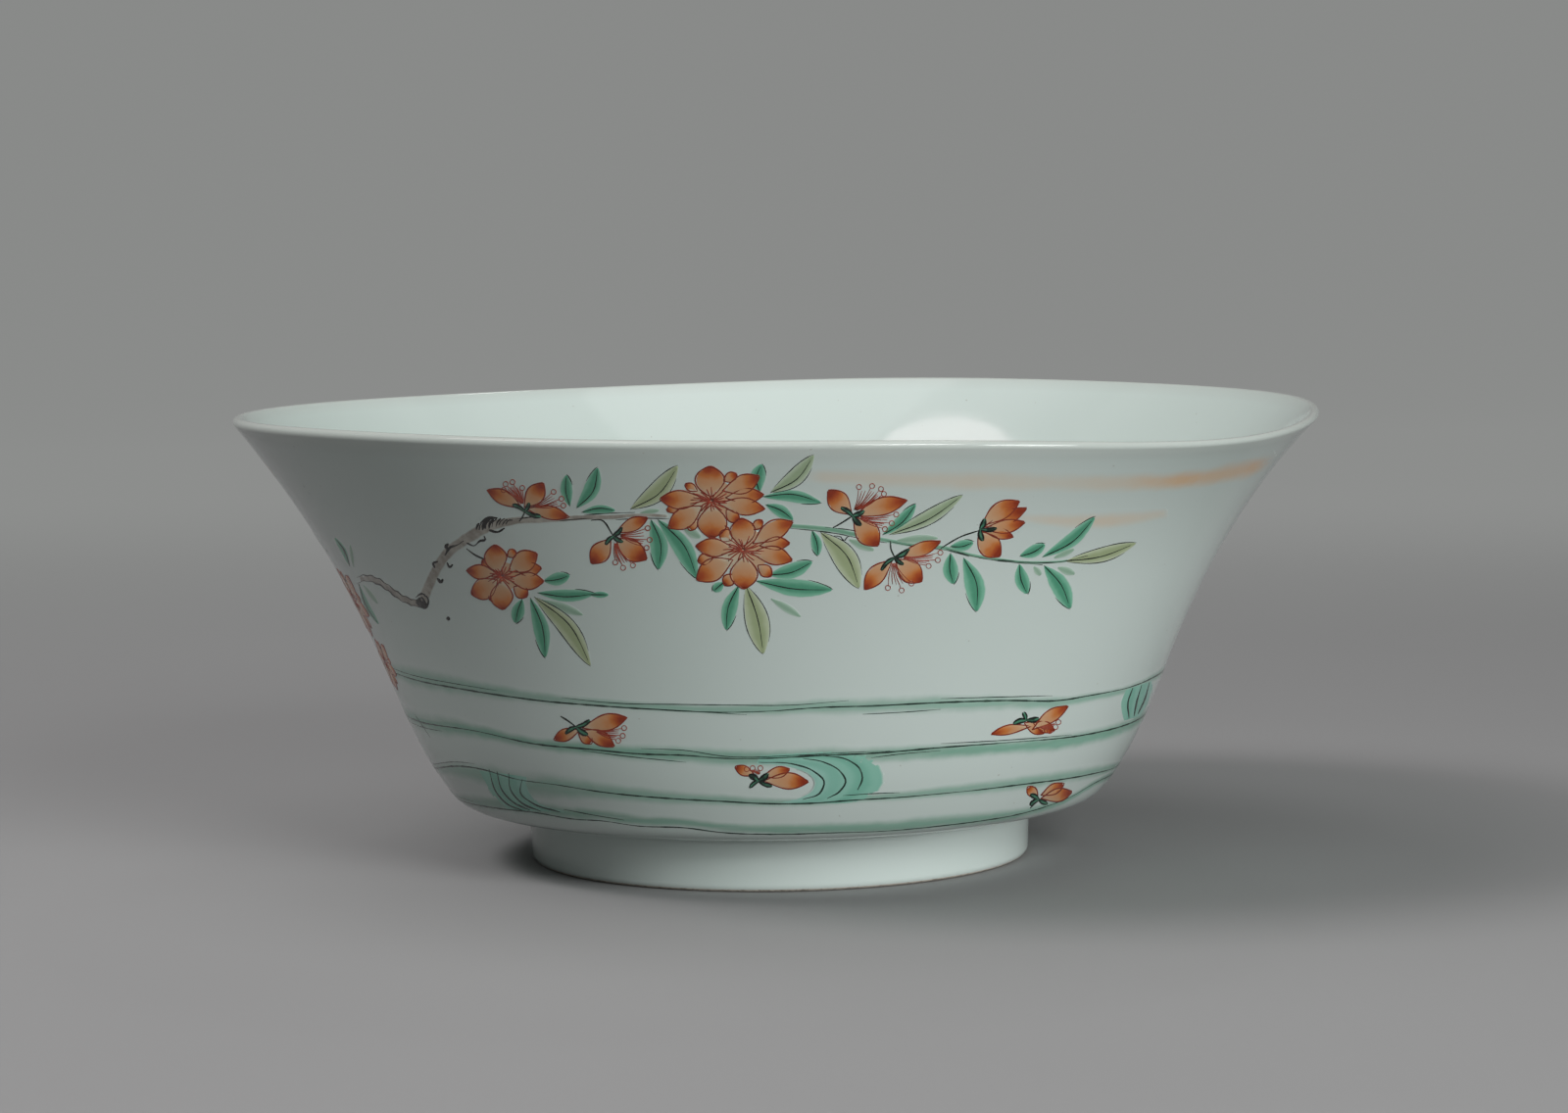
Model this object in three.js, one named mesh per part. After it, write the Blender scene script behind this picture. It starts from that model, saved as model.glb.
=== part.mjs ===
// Flared porcelain bowl on a low turned foot ring.
// Units are millimetres. +Z is up, and the origin is the middle of the face that the bowl stands on.

import * as THREE from 'three';

// Overall sizes
const RIM_RADIUS = 100;
const BOWL_HEIGHT = 83.6;
const FOOT_RADIUS = 46.7;
const FOOT_HEIGHT = 9.5;

// Outside of the wall: the hip is where the underside turns up into the wall.
const UNDERSIDE_START = 47.3;
const UNDERSIDE_SLOPE = 10.4;
const UNDERSIDE_PULL = 13.05;
const HIP_RADIUS = 64.75;
const HIP_HEIGHT = 18.6;
const HIP_SLOPE = 58.15;
const HIP_PULL_BELOW = 11;
const HIP_PULL_ABOVE = 14.9;
const LIP_SLOPE = 50.4;
const LIP_PULL = 37.9;

// Thickness of the clay
const LIP_THICKNESS = 1.8;
const HIP_THICKNESS = 3.2;
const THICKENING_POWER = 1.7;
const FLOOR_THICKNESS = 4.2;

// Inside of the floor
const FLOOR_FLAT_PULL = 40;
const FLOOR_TURN_PULL = 8.5;

// The base disc stands proud inside the foot ring and centres it.
const BASE_DROP = 1.1;
const BASE_RADIUS = 41.2;
const BASE_EDGE_ROUND = 0.8;

// Foot ring
const LUTING_GAP = 0.3;
const FOOT_TAPER = 0.25;
const FOOT_INNER_TOP = 41.6;
const FOOT_INNER_BOTTOM = 42.5;
const FOOT_OUTER_ROUND = 1.4;
const FOOT_INNER_ROUND = 1.0;

// Faceting
const SEGMENTS_ROUND = 96;
const HIP_STEPS = 10;
const WALL_STEPS = 11;
const LIP_STEPS = 4;
const FLOOR_STEPS = 9;
const CORNER_STEPS = 4;

const porcelain = () => new THREE.MeshStandardMaterial({
  color: new THREE.Color(0.80, 0.85, 0.83),
  roughness: 0.12,
  metalness: 0,
});

const point = (radius, height) => new THREE.Vector2(radius, height);

// The point that lies a distance away along a slope, given in degrees above level.
function along(start, slope, distance) {
  const angle = THREE.MathUtils.degToRad(slope);
  return point(start.x + distance * Math.cos(angle), start.y + distance * Math.sin(angle));
}

// Points of a round corner between two angles in degrees. The first point is left out.
function arc(centre, radius, from, to, steps) {
  const points = [];
  for (let i = 1; i <= steps; i += 1) {
    points.push(along(centre, from + (to - from) * i / steps, radius));
  }
  return points;
}

// The outside of the bowl, from the foot to the hip and from the hip to the lip.
function outsideCurves() {
  const start = point(UNDERSIDE_START, FOOT_HEIGHT);
  const hip = point(HIP_RADIUS, HIP_HEIGHT);
  const lipRound = LIP_THICKNESS / 2;
  const lipCentre = point(RIM_RADIUS - lipRound, BOWL_HEIGHT - lipRound);
  const lip = along(lipCentre, LIP_SLOPE - 90, lipRound);
  return {
    lipCentre,
    hipCurve: new THREE.CubicBezierCurve(
      start,
      along(start, UNDERSIDE_SLOPE, UNDERSIDE_PULL),
      along(hip, HIP_SLOPE, -HIP_PULL_BELOW),
      hip,
    ),
    wallCurve: new THREE.CubicBezierCurve(
      hip,
      along(hip, HIP_SLOPE, HIP_PULL_ABOVE),
      along(lip, LIP_SLOPE, -LIP_PULL),
      lip,
    ),
  };
}

// The inside of the wall lies one thickness in from the outside, thinning towards the lip.
function insideOfWall(wallCurve) {
  const points = [];
  for (let i = 0; i <= WALL_STEPS; i += 1) {
    const t = i / WALL_STEPS;
    const outside = wallCurve.getPoint(t);
    const tangent = wallCurve.getTangent(t);
    const extra = (HIP_THICKNESS - LIP_THICKNESS) * (1 - t) ** THICKENING_POWER;
    const thickness = LIP_THICKNESS + extra;
    points.push(point(outside.x - tangent.y * thickness, outside.y + tangent.x * thickness));
  }
  return points;
}

// The inside of the floor, from the middle out to the foot of the inside wall.
function insideOfFloor(wallFoot) {
  const height = FOOT_HEIGHT - BASE_DROP + FLOOR_THICKNESS;
  return new THREE.CubicBezierCurve(
    point(0, height),
    point(FLOOR_FLAT_PULL, height),
    along(wallFoot, HIP_SLOPE, -FLOOR_TURN_PULL),
    wallFoot,
  ).getPoints(FLOOR_STEPS);
}

function bodyProfile() {
  const { lipCentre, hipCurve, wallCurve } = outsideCurves();
  const inside = insideOfWall(wallCurve);
  const baseHeight = FOOT_HEIGHT - BASE_DROP;
  const edgeCentre = point(BASE_RADIUS - BASE_EDGE_ROUND, baseHeight + BASE_EDGE_ROUND);
  return [
    point(0, baseHeight),
    point(edgeCentre.x, baseHeight),
    ...arc(edgeCentre, BASE_EDGE_ROUND, -90, 0, CORNER_STEPS),
    point(BASE_RADIUS, FOOT_HEIGHT),
    ...hipCurve.getPoints(HIP_STEPS),
    ...wallCurve.getPoints(WALL_STEPS).slice(1),
    ...arc(lipCentre, LIP_THICKNESS / 2, LIP_SLOPE - 90, LIP_SLOPE + 90, LIP_STEPS),
    ...inside.slice(1, -1).reverse(),
    ...insideOfFloor(inside[0]).reverse(),
  ];
}

function footProfile() {
  const top = FOOT_HEIGHT - LUTING_GAP;
  const outerFoot = FOOT_RADIUS - FOOT_TAPER;
  const outerCentre = point(outerFoot - FOOT_OUTER_ROUND, FOOT_OUTER_ROUND);
  const innerCentre = point(FOOT_INNER_BOTTOM + FOOT_INNER_ROUND, FOOT_INNER_ROUND);
  const profile = [
    point(innerCentre.x, 0),
    point(outerCentre.x, 0),
    ...arc(outerCentre, FOOT_OUTER_ROUND, -90, 0, CORNER_STEPS),
    point(FOOT_RADIUS, top),
    point(FOOT_INNER_TOP, top),
    point(FOOT_INNER_BOTTOM, FOOT_INNER_ROUND),
    ...arc(innerCentre, FOOT_INNER_ROUND, 180, 270, CORNER_STEPS).slice(0, -1),
  ];
  profile.push(profile[0].clone());
  return profile;
}

// Turns a profile of radius and height about the upright axis.
function turned(name, profile) {
  const geometry = new THREE.LatheGeometry(profile, SEGMENTS_ROUND);
  geometry.rotateX(Math.PI / 2);
  const mesh = new THREE.Mesh(geometry, porcelain());
  mesh.name = name;
  return mesh;
}

const bowl = new THREE.Group();
bowl.add(turned('bowl_body', bodyProfile()));
bowl.add(turned('foot_ring', footProfile()));

export default bowl;
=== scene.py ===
"""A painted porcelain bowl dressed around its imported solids: glaze, enamels, floor, lamps and camera."""

import math

import bpy
import numpy as np
from mathutils import Matrix, Quaternion, Vector


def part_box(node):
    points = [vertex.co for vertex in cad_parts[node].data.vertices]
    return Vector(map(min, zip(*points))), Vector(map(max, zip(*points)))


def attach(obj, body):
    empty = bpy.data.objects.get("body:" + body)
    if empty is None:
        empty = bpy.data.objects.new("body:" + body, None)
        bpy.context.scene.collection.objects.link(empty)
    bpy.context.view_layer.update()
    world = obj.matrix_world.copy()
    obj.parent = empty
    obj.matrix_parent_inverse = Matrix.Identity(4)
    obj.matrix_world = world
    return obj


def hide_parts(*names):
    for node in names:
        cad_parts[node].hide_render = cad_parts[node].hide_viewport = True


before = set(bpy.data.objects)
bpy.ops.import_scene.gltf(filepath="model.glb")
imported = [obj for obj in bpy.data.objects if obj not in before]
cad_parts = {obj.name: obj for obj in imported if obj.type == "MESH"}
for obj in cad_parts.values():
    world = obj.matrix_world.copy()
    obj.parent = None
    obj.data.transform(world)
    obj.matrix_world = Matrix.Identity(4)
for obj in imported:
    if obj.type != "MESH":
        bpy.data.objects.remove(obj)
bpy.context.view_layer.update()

MM = 0.001
random = np.random.default_rng(11)

# Sizes of the pot in millimetres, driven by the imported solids
RIM_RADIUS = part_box("bowl_body")[1].x / MM
BOWL_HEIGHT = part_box("bowl_body")[1].z / MM
FOOT_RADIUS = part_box("foot_ring")[1].x / MM
FOOT_HEIGHT = 9.5

# Outside of the wall, with slopes in degrees above level
UNDERSIDE_START = FOOT_RADIUS + 0.6
UNDERSIDE_SLOPE = 10.4
UNDERSIDE_PULL = 13.05
HIP_RADIUS = 64.75
HIP_HEIGHT = 18.6
HIP_SLOPE = 58.15
HIP_PULL_BELOW = 11
HIP_PULL_ABOVE = 14.9
LIP_SLOPE = 50.4
LIP_PULL = 37.9

# Thickness of the clay, and the inside of the floor
LIP_THICKNESS = 1.8
HIP_THICKNESS = 3.2
THICKENING_POWER = 1.7
FLOOR_THICKNESS = 4.2
FLOOR_FLAT_PULL = 40
FLOOR_TURN_PULL = 8.5
BASE_DROP = 1.1
BASE_RADIUS = 41.2
BASE_EDGE_ROUND = 0.8

# Foot ring, and the glaze that pools in the corners where it meets the bowl
FOOT_TAPER = 0.25
FOOT_INNER_TOP = 41.6
FOOT_INNER_BOTTOM = 42.5
FOOT_OUTER_ROUND = 1.4
FOOT_INNER_ROUND = 1.0
POOLED_OUTSIDE = 0.9
POOLED_INSIDE = 0.7
POOL_RISE = 0.0104
POOL_END = 82
FOOT_SUNK = 0.35

# Where the fired rim sags: the middle in degrees from the front towards +X, how far it drops in millimetres
# and how far round it spreads in degrees. A drop under zero is a rise. The wall bends above SAG_START.
RIM_SAGS = ((50, 2.8, 19), (-47, -0.75, 24), (215, 0.7, 25), (163, -0.4, 16))
SAG_START = 55.0
SAG_LEAN = 1.1

# Rows of faces around and along the pot, and the angle in degrees from which an edge looks sharp
SEGMENTS_ROUND = 448
HIP_ROWS = 34
WALL_ROWS = 62
LIP_ROWS = 8
INSIDE_ROWS = 44
FLOOR_ROWS = 26
CORNER_ROWS = 5
SHARP_ANGLE = 40

# Camera in millimetres, degrees and pixels of the photograph
PICTURE_MIDDLE = (800.0, 568.0)
PICTURE_WIDTH = 1600
FOCAL_PIXELS = 4494.3
SENSOR_WIDTH = 36.0
CAMERA_DISTANCE = 817.9
CAMERA_HEIGHT = 129.7
CAMERA_YAW = 0.109
CAMERA_PITCH = 5.176
CAMERA_ROLL = -0.851

# How far each enamel stands above the glaze, in millimetres. Edges sink under it.
EDGE_DEPTH = 0.012
CLOUD_LIFT = 0.008
WATER_LIFT = 0.01
CREST_LIFT = 0.014
TWIG_LIFT = 0.014
LEAF_LIFT = 0.016
WOOD_LIFT = 0.016
LINE_LIFT = 0.02
PETAL_LIFT = 0.026
STAMEN_LIFT = 0.052
CALYX_LIFT = 0.056
STAGGER = 0.0003
STAGGERS = 6
PETAL_STEP = 0.002
PETAL_LINE_RISE = 0.0015
STAR_RISE = 0.008
SOLE_DEPTH = 0.05

# How steeply a mound's sides rise, how far a line's ends run on, and shares from one side to the other
SHAPE_STEEPNESS = 12
LINE_STEEPNESS = 16
END_SHARE = 0.02
LINE_ACROSS = np.array((-1, -0.85, 0, 0.85, 1))
INNER_SHARE = 0.86
EDGE_SHARE = 0.95
INNER_SPACING = 0.8

# Widths of brush lines in millimetres
FINE_LINE = 0.17
STAMEN_LINE = 0.14
STAR_LINE = 0.23
PETAL_LINE = 0.24
LEAF_LINE = 0.22
STEM_LINE = 0.28
BARK_LINE = 0.42
WATER_LINE = 0.36
CREST_LINE = 0.34
CALYX_LINE = 1.0
SPECK_SIZE = 0.6
WASH_WIDTH = 4.1

# Shapes of petals, leaves and crests, and a stamen's ring in pixels with its thread's ends as shares
BLADE_SPACING = 0.5
LEAST_HALF_WIDTH = 0.2
PETAL_WIDEST = 0.56
PETAL_SPREAD = 1.04
LEAF_WIDEST = 0.54
LEAF_FULLNESS = 0.78
LEAF_SPREAD = 1.42
PETAL_FULLNESS = 1.12
PETAL_POINT = 0.45
PETAL_LEAST = 0.6
PETAL_SWAY = 0.05
PETAL_WARMTHS = (0.95, 1.1)
CREST_ROWS = 25
CREST_COLUMNS = 17
RING_RADIUS = 2.6
THREAD_START = 0.1
THREAD_END = 0.84

# How fast a line's width wavers, in radians for each millimetre, and a margin round each cell of the map
QUICK_SHAKE = 1.9
SLOW_SHAKE = 0.83
MAP_MARGIN = 0.06

# One pixel of the photograph on the front of the wall, in millimetres, and the wall's radius at the water
PIXEL = 0.165
WATER_RADIUS = 78.0


def slope_step(start, slope, distance):
    """The point a distance away from start along a slope in degrees above level."""
    angle = math.radians(slope)
    return np.asarray(start, float) + distance * np.array([math.cos(angle), math.sin(angle)])


def curve(start, slope, pull, end, end_slope, end_pull, steps):
    """Points of a cubic curve with a slope and a pull at its start and at its end."""
    t = np.linspace(0, 1, steps + 1)[:, None]
    near = (1 - t) ** 3 * np.asarray(start) + 3 * (1 - t) ** 2 * t * slope_step(start, slope, pull)
    far = 3 * (1 - t) * t**2 * slope_step(end, end_slope, -end_pull) + t**3 * np.asarray(end)
    return near + far


def arc(centre, radius, first, last, steps):
    """Points of a round corner between two angles in degrees."""
    return np.array([slope_step(centre, a, radius) for a in np.linspace(first, last, steps + 1)])


def lengths(points):
    """Distance along a row of points."""
    return np.concatenate([[0], np.cumsum(np.linalg.norm(np.diff(points, axis=0), axis=1))])


def directions(points):
    """Unit vectors along a row of points."""
    steps = np.gradient(points, axis=0)
    return steps / np.linalg.norm(steps, axis=1)[:, None]


def sideways(points):
    """Unit vectors to the left of a row of points."""
    ways = directions(points)
    return np.stack([-ways[:, 1], ways[:, 0]], axis=1)


LIP_ROUND = LIP_THICKNESS / 2
LIP_CENTRE = np.array([RIM_RADIUS - LIP_ROUND, BOWL_HEIGHT - LIP_ROUND])
BASE_HEIGHT = FOOT_HEIGHT - BASE_DROP


def outside(hip_rows, wall_rows):
    """The outside of the pot, from the foot to the hip and from the hip to the lip."""
    start, hip = (UNDERSIDE_START, FOOT_HEIGHT), (HIP_RADIUS, HIP_HEIGHT)
    lip = slope_step(LIP_CENTRE, LIP_SLOPE - 90, LIP_ROUND)
    below = curve(start, UNDERSIDE_SLOPE, UNDERSIDE_PULL, hip, HIP_SLOPE, HIP_PULL_BELOW, hip_rows)
    above = curve(hip, HIP_SLOPE, HIP_PULL_ABOVE, lip, LIP_SLOPE, LIP_PULL, wall_rows)
    return below, above


def inside_of_wall():
    """One thickness in from the outside of the wall, thinning towards the lip."""
    wall = outside(HIP_ROWS, INSIDE_ROWS)[1]
    share = np.linspace(1, 0, len(wall))
    thickness = LIP_THICKNESS + (HIP_THICKNESS - LIP_THICKNESS) * share**THICKENING_POWER
    return wall + thickness[:, None] * sideways(wall)


def body_profile():
    """Radius and height around the bowl's clay, from the middle of the base to that of the floor."""
    hip, wall = outside(HIP_ROWS, WALL_ROWS)
    inner = inside_of_wall()
    floor = (0, BASE_HEIGHT + FLOOR_THICKNESS)
    edge = (BASE_RADIUS - BASE_EDGE_ROUND, BASE_HEIGHT + BASE_EDGE_ROUND)
    return np.vstack([
        [(0, BASE_HEIGHT), (BASE_RADIUS / 2, BASE_HEIGHT)],
        arc(edge, BASE_EDGE_ROUND, -90, 0, CORNER_ROWS),
        [(BASE_RADIUS, FOOT_HEIGHT)],
        hip,
        wall[1:],
        arc(LIP_CENTRE, LIP_ROUND, LIP_SLOPE - 90, LIP_SLOPE + 90, LIP_ROWS)[1:-1],
        inner[::-1],
        curve(floor, 0, FLOOR_FLAT_PULL, inner[0], HIP_SLOPE, FLOOR_TURN_PULL, FLOOR_ROWS)[-2::-1],
    ])


def foot_profile():
    """Radius and height around the foot ring, with glaze pooled in both corners under the bowl."""
    outer = (FOOT_RADIUS - FOOT_TAPER - FOOT_OUTER_ROUND, FOOT_OUTER_ROUND)
    inner = (FOOT_INNER_BOTTOM + FOOT_INNER_ROUND, FOOT_INNER_ROUND)
    pool_out = (FOOT_RADIUS + POOLED_OUTSIDE, FOOT_HEIGHT - POOLED_OUTSIDE + POOL_RISE)
    pool_in = (FOOT_INNER_TOP - POOLED_INSIDE, BASE_HEIGHT - POOLED_INSIDE)
    top = FOOT_HEIGHT + FOOT_SUNK
    return np.vstack([
        [(inner[0], 0), (outer[0], 0)],
        arc(outer, FOOT_OUTER_ROUND, -90, 0, CORNER_ROWS)[1:],
        arc(pool_out, POOLED_OUTSIDE, 180, POOL_END, CORNER_ROWS),
        [(FOOT_RADIUS, top), (FOOT_INNER_TOP, top), (pool_in[0], BASE_HEIGHT + FOOT_SUNK)],
        arc(pool_in, POOLED_INSIDE, 90, 0, CORNER_ROWS),
        arc(inner, FOOT_INNER_ROUND, 180, 270, CORNER_ROWS),
    ])


# The outside of the wall as a chart: an angle in radians from the front towards +X, and a length up the wall
CHART_ROWS = 1500
CHART_BELOW, CHART_ABOVE = outside(CHART_ROWS, CHART_ROWS)
CHART = np.vstack([CHART_BELOW, CHART_ABOVE[1:]])
CHART_WAYS = directions(CHART)
CHART_UP = lengths(CHART)


def on_wall(chart, lift):
    """Places in metres of chart points that stand a lift in millimetres above the glaze."""
    angle, up = chart[..., 0], chart[..., 1]
    radius = np.interp(up, CHART_UP, CHART[:, 0]) + lift * np.interp(up, CHART_UP, CHART_WAYS[:, 1])
    height = np.interp(up, CHART_UP, CHART[:, 1]) - lift * np.interp(up, CHART_UP, CHART_WAYS[:, 0])
    return sagged(MM * np.stack([radius * np.sin(angle), -radius * np.cos(angle), height], axis=-1))


def sagged(points):
    """Points in metres, moved down and outwards where the rim sags."""
    angle = np.degrees(np.arctan2(points[..., 0], -points[..., 1]))
    drop = np.zeros(angle.shape)
    for middle, depth, spread in RIM_SAGS:
        away = (angle - middle + 180) % 360 - 180
        drop += depth * np.exp(-((away / spread) ** 2) / 2)
    share = np.clip((points[..., 2] / MM - SAG_START) / (BOWL_HEIGHT - SAG_START), 0, 1)
    drop *= MM * share**2
    radius = np.maximum(np.hypot(points[..., 0], points[..., 1]), MM)
    outwards = (1 + SAG_LEAN * drop / radius)[..., None] * points[..., :2]
    return np.concatenate([outwards, (points[..., 2] - drop)[..., None]], axis=-1)


def camera_axes():
    """Right, up and forward of the camera that took the photograph."""
    yaw, pitch, roll = (math.radians(a) for a in (CAMERA_YAW, CAMERA_PITCH, CAMERA_ROLL))
    level = np.array([math.cos(yaw), -math.sin(yaw), 0])
    ahead = np.array([math.sin(yaw), math.cos(yaw), 0])
    forward = ahead * math.cos(pitch) - np.array([0, 0, math.sin(pitch)])
    upright = ahead * math.sin(pitch) + np.array([0, 0, math.cos(pitch)])
    right = level * math.cos(roll) + upright * math.sin(roll)
    up = upright * math.cos(roll) - level * math.sin(roll)
    return right, up, forward


RIGHT, UP, FORWARD = camera_axes()
CAMERA_PLACE = np.array([0, -CAMERA_DISTANCE, CAMERA_HEIGHT])

# Steps along a line of sight, and how far in millimetres they go before the bowl and past its middle
SIGHT_STEPS = 700
SIGHT_MARGINS = (15, 10)


def pictured(points):
    """Pixels of the photograph that show points given in metres."""
    ways = points / MM - CAMERA_PLACE
    aside = np.stack([ways @ RIGHT, -ways @ UP], axis=-1)
    return PICTURE_MIDDLE + FOCAL_PIXELS * aside / (ways @ FORWARD)[..., None]


def seen(pixels):
    """Chart points of the wall that the photograph's pixels show, where the rim has sagged."""
    level = np.asarray(pixels, float)
    for _ in range(2):
        level = level + pixels - pictured(on_wall(seen_level(level), 0.0))
    return seen_level(level)


def seen_level(pixels):
    """Chart points that the pixels would show with a level rim, or the nearest on its outline."""
    shape = pixels.shape
    across, down = (pixels.reshape(-1, 2) - PICTURE_MIDDLE).T
    ways = FORWARD * FOCAL_PIXELS + np.outer(across, RIGHT) - np.outer(down, UP)
    ways /= np.linalg.norm(ways, axis=1)[:, None]
    nearest = CAMERA_DISTANCE - RIM_RADIUS - SIGHT_MARGINS[0]
    reach = np.linspace(nearest, CAMERA_DISTANCE + SIGHT_MARGINS[1], SIGHT_STEPS)
    sight = CAMERA_PLACE + reach[None, :, None] * ways[:, None, :]
    gap = np.hypot(sight[..., 0], sight[..., 1]) - np.interp(sight[..., 2], CHART[:, 1], CHART[:, 0])
    hits = (gap < 0).any(axis=1)
    after = np.where(hits, (gap < 0).argmax(axis=1), np.clip(gap.argmin(axis=1), 1, None))
    rows = np.arange(len(gap))
    before = np.clip(after - 1, 0, None)
    share = gap[rows, before] / (gap[rows, before] - gap[rows, after] + 1e-12)
    share = np.where(hits, share, 1)[:, None]
    place = sight[rows, before] * (1 - share) + sight[rows, after] * share
    up = np.interp(place[:, 2], CHART[:, 1], CHART_UP)
    return np.stack([np.arctan2(place[:, 0], -place[:, 1]), up], axis=1).reshape(shape)


class Panel:
    """A part of the wall, painted in the photograph's pixels and then turned about the bowl's axis."""

    unit = PIXEL

    def __init__(self, turn=0.0, shift=(0, 0), scale=1.0):
        self.turn = math.radians(turn)
        self.shift = shift
        self.scale = scale

    def chart(self, pixels):
        places = (np.asarray(pixels, float) - PICTURE_MIDDLE) * self.scale
        return seen(places + PICTURE_MIDDLE + self.shift) + (self.turn, 0)


class Unrolled:
    """The whole wall laid flat: millimetres round it at the water, and millimetres up it."""

    unit = 1.0

    def chart(self, places):
        return np.asarray(places, float) / (WATER_RADIUS, 1)


FRONT = Panel()
AROUND = Unrolled()


def smooth_path(points, spacing):
    """A smooth, evenly spaced row of points through the given ones."""
    points = np.asarray(points, float)
    reach = lengths(points)
    count = max(4, math.ceil(reach[-1] / spacing) + 1)
    places = np.linspace(0, reach[-1], count)
    slopes = np.gradient(points, reach, axis=0)
    k = np.clip(np.searchsorted(reach, places, side="right") - 1, 0, len(points) - 2)
    span = (reach[k + 1] - reach[k])[:, None]
    t = (places[:, None] - reach[k][:, None]) / span
    ends = (2 * t**3 - 3 * t**2 + 1) * points[k] + (3 * t**2 - 2 * t**3) * points[k + 1]
    pulls = (t**3 - 2 * t**2 + t) * slopes[k] + (t**3 - t**2) * slopes[k + 1]
    return ends + span * pulls


def ribbon(path, half_widths, across):
    """A grid of points beside a path, where across runs from -1 on one edge to 1 on the other."""
    return path[:, None] + across[None, :, None] * half_widths[:, None, None] * sideways(path)[:, None]


def shares_across(width):
    """Shares from edge to edge of a shape, closer together at its edges."""
    inner = np.linspace(-INNER_SHARE, INNER_SHARE, max(3, math.ceil(width / INNER_SPACING)) | 1)
    return np.concatenate([[-1, -EDGE_SHARE], inner, [EDGE_SHARE, 1]])


def mound_faces(at):
    """The skin, the sole and both ends of a mound. The last column of its points is the keel underneath."""
    skin = np.stack([at[:-1, :-2], at[1:, :-2], at[1:, 1:-1], at[:-1, 1:-1]], axis=-1)
    keel, left, right = at[:, -1], at[:, 0], at[:, -2]
    sole = [np.stack([a[:-1], b[:-1], b[1:], a[1:]], axis=-1) for a, b in ((left, keel), (keel, right))]
    ends = [at[0].tolist(), at[-1, ::-1].tolist()]
    return skin.reshape(-1, 4).tolist() + np.concatenate(sole).tolist() + ends


class Coat:
    """One enamel: closed low mounds on the wall, gathered into one mesh."""

    def __init__(self, name):
        self.name = name
        self.points, self.faces, self.marks, self.mounds = [], [], [], []

    def lay(self, canvas, grid, across, top, shade=0.0, line=False):
        """Adds a mound, top millimetres high, over a grid with rows along it and columns across it."""
        chart = canvas.chart(grid)
        down, aside = np.diff(chart[:, :-1], axis=0), np.diff(chart[:-1], axis=1)
        if (down[..., 0] * aside[..., 1] - down[..., 1] * aside[..., 0]).sum() < 0:
            chart = chart[:, ::-1]
            across = across[::-1]
        share = np.linspace(0, 1, len(chart))
        if line:
            chart = np.concatenate([chart[:1], chart, chart[-1:]])
            share = np.concatenate([[-END_SHARE], share, [1 + END_SHARE]])
        rows, columns = chart.shape[:2]
        top += STAGGER * (len(self.mounds) % STAGGERS)
        steepness = LINE_STEEPNESS if line else SHAPE_STEEPNESS
        lift = np.tile(top - (top + EDGE_DEPTH) * across**steepness, (rows, 1))
        lift[[0, -1]] = -EDGE_DEPTH
        middle = chart[:, columns // 2:columns // 2 + 1]
        chart = np.concatenate([chart, middle], axis=1)
        lift = np.column_stack([lift, np.full(rows, -SOLE_DEPTH)])
        wide = columns + 1
        at = sum(self.mounds) + np.arange(lift.size).reshape(rows, wide)
        self.faces += mound_faces(at)
        self.points.append(on_wall(chart, lift).reshape(-1, 3))
        shades = np.broadcast_to(shade, rows)
        marks = (np.repeat(share, wide), np.tile(np.append(across, 0), rows), np.repeat(shades, wide))
        self.marks.append(np.stack(marks, axis=1))
        self.mounds.append(lift.size)

    def build(self, material):
        """Makes the mesh, with a map in which each mound fills a cell of its own."""
        mesh = bpy.data.meshes.new(self.name)
        mesh.from_pydata(np.vstack(self.points).tolist(), [], self.faces)
        marks = np.vstack(self.marks)
        for column, label in enumerate(("along", "across", "shade")):
            add_marks(mesh, label, marks[:, column])
        side = math.ceil(math.sqrt(len(self.mounds)))
        cell = np.repeat(np.arange(len(self.mounds)), self.mounds)
        inner = MAP_MARGIN + (1 - 2 * MAP_MARGIN) * np.stack([marks[:, 0], marks[:, 1] / 2 + 0.5], axis=1)
        places = (np.stack([cell % side, cell // side], axis=1) + inner) / side
        corners = np.zeros(len(mesh.loops), np.int32)
        mesh.loops.foreach_get("vertex_index", corners)
        add_map(mesh, places[corners])
        place_piece(mesh, material)


def add_marks(mesh, label, values):
    layer = mesh.attributes.new(label, "FLOAT", "POINT")
    layer.data.foreach_set("value", values.astype(np.float32))


def add_map(mesh, places):
    layer = mesh.uv_layers.new(name="OFBake")
    layer.data.foreach_set("uv", places.astype(np.float32).ravel())


def show(data):
    """Puts a mesh, lamp or camera into the scene under its own name."""
    thing = bpy.data.objects.new(data.name, data)
    bpy.context.scene.collection.objects.link(thing)
    return thing


def place_piece(mesh, material):
    mesh.materials.append(material)
    mesh.shade_smooth()
    piece = show(mesh)
    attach(piece, "root")
    return piece


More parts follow.
